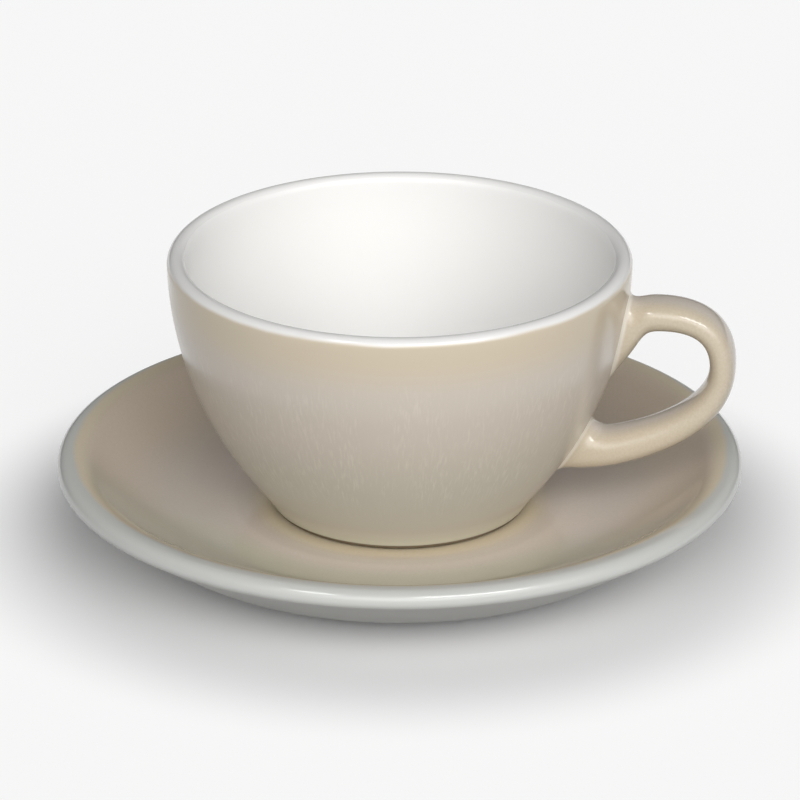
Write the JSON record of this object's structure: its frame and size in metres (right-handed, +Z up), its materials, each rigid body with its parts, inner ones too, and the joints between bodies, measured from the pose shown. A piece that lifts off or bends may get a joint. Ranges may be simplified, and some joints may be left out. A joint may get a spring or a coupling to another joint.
{
  "type": "cappuccino cup with saucer",
  "caption": "Wide cappuccino cup with a loop handle, standing in the shallow seat of a thick round saucer; the cup lifts off.",
  "frame": {"origin": "on the table, under the middle of the saucer", "axes": "+Z up along the axis of cup and saucer, +X towards the cup's handle"},
  "size_m": [0.155, 0.155, 0.0677],
  "materials": {
    "saucer_glaze": "glossy lilac-grey glaze that breaks ochre at the edges, with a white rim",
    "cup_glaze": "glossy ivory to lilac-grey glaze outside with fine upright streaks, white inside and on the lip"
  },
  "bodies": {
    "saucer": {"saucer": "saucer_glaze"},
    "cup": {"cup_bowl": "cup_glaze", "cup_handle": "cup_glaze"}
  },
  "joints": [
    {"name": "cup_lift", "type": "slide", "parent": "saucer", "child": "cup", "axis": [0, 0, 1], "range_m": [0, 0.15]}
  ]
}
